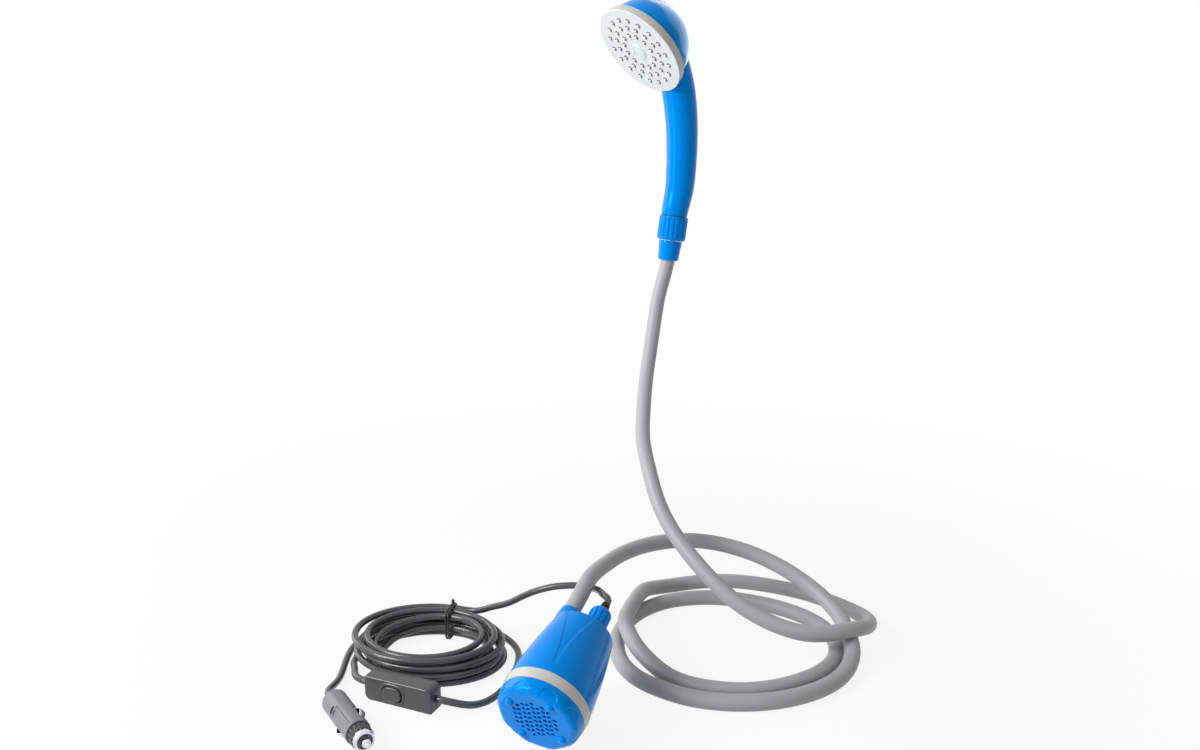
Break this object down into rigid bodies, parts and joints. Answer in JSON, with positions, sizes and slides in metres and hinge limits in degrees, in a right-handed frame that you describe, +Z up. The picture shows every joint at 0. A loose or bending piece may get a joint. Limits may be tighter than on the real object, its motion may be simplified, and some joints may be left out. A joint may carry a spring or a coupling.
{
  "type": "camp shower pump",
  "caption": "Blue tapered submersible pump with a grey hose to a hand shower, a coiled cord with an in-line push switch, and a vehicle socket plug.",
  "frame": {"origin": "on the floor, under the middle of the box round the pump and the handset", "axes": "+Z up along the object's height, +X to the right and +Y away from the viewer of the picture, millimetre source scaled to metres"},
  "size_m": [0.4081, 0.345, 0.4898],
  "materials": {
    "blue_plastic": "glossy moulded blue",
    "pale_plastic": "satin pale grey",
    "face_plastic": "satin light grey",
    "hose": "satin grey flexible hose",
    "cable": "satin dark grey sheath",
    "switch_plastic": "fine matt dark grey",
    "plug_plastic": "satin mid grey",
    "dark_plastic": "dark moulded",
    "rubber": "black",
    "bright_metal": "bright plated",
    "brass": "plain",
    "magnet": "sintered",
    "copper_winding": "copper"
  },
  "bodies": {
    "base": {"pump_casing": "blue_plastic", "trim_band": "pale_plastic", "volute_cover": "dark_plastic", "volute_body": "dark_plastic", "volute_screws": "bright_metal", "shaft_seal": "rubber", "motor_can": "bright_metal", "motor_end_bell": "dark_plastic", "motor_magnets": "magnet", "motor_brushes": "magnet", "motor_bushes": "brass", "motor_leads": "copper_winding", "casing_o_ring": "rubber", "outlet_duct": "rubber", "gland_nut": "blue_plastic", "gland_seal": "rubber", "hose_loops": "hose", "hose_riser": "hose", "hose_barb": "bright_metal", "hose_sleeve": "blue_plastic", "cable_lead": "cable", "cable_coil": "cable", "cable_tie": "cable", "switch_lead": "cable", "plug_lead": "cable", "switch_base": "switch_plastic", "switch_cover": "switch_plastic", "switch_spring": "bright_metal", "switch_contacts": "brass", "switch_screws": "bright_metal", "plug_shell": "plug_plastic", "plug_nose": "dark_plastic", "plug_nose_ring": "bright_metal", "plug_tip_spring": "bright_metal", "plug_fuse": "bright_metal"},
    "rotor": {"motor_shaft": "bright_metal", "impeller": "pale_plastic", "armature": "copper_winding", "commutator": "copper_winding"},
    "strainer": {"strainer_cap": "blue_plastic"},
    "union_nut": {"hose_nut": "blue_plastic"},
    "handset": {"handset_handle": "blue_plastic", "head_dome": "blue_plastic", "head_gasket": "rubber", "face_ring": "pale_plastic", "nozzle_plate": "face_plastic", "face_boss": "face_plastic", "face_screw": "bright_metal", "handle_inlet": "bright_metal", "nut_washer": "rubber"},
    "button": {"switch_button": "switch_plastic"},
    "tip": {"plug_tip": "bright_metal"},
    "contact_left": {"plug_contact_left": "bright_metal"},
    "contact_right": {"plug_contact_right": "bright_metal"}
  },
  "joints": [
    {"name": "rotor_spin", "type": "hinge", "parent": "base", "child": "rotor", "pos_m": [-0.03194, -0.12081, 0.04103], "axis": [0.3792, 0.8598, 0.342], "continuous": true},
    {"name": "strainer_twist", "type": "hinge", "parent": "base", "child": "strainer", "pos_m": [-0.04445, -0.14918, 0.02974], "axis": [0.3792, 0.8598, 0.342], "range_deg": [0, 60]},
    {"name": "union_nut_turn", "type": "hinge", "parent": "base", "child": "union_nut", "pos_m": [0.05366, 0.1529, 0.30473], "axis": [0.1344, 0.0897, 0.9869], "continuous": true},
    {"name": "handset_swivel", "type": "hinge", "parent": "base", "child": "handset", "pos_m": [0.05366, 0.1529, 0.30473], "axis": [0.1344, 0.0897, 0.9869], "range_deg": [-180, 180]},
    {"name": "switch_press", "type": "slide", "parent": "base", "child": "button", "axis": [0.3955, 0.9184, 0], "range_m": [0, 0.0025], "stiffness_N_per_m": 400, "springref_m": -0.001, "deforming": ["switch_spring"]},
    {"name": "plug_tip_press", "type": "slide", "parent": "base", "child": "tip", "axis": [-0.5446, 0.8387, 0], "range_m": [0, 0.004], "stiffness_N_per_m": 500, "springref_m": -0.001, "deforming": ["plug_tip_spring"]},
    {"name": "contact_left_press", "type": "slide", "parent": "base", "child": "contact_left", "axis": [-0.6609, -0.4292, -0.6157], "range_m": [0, 0.0014], "stiffness_N_per_m": 900, "springref_m": -0.0005},
    {"name": "contact_right_press", "type": "slide", "parent": "base", "child": "contact_right", "axis": [0.6609, 0.4292, 0.6157], "range_m": [0, 0.0014], "stiffness_N_per_m": 900, "springref_m": -0.0005}
  ]
}
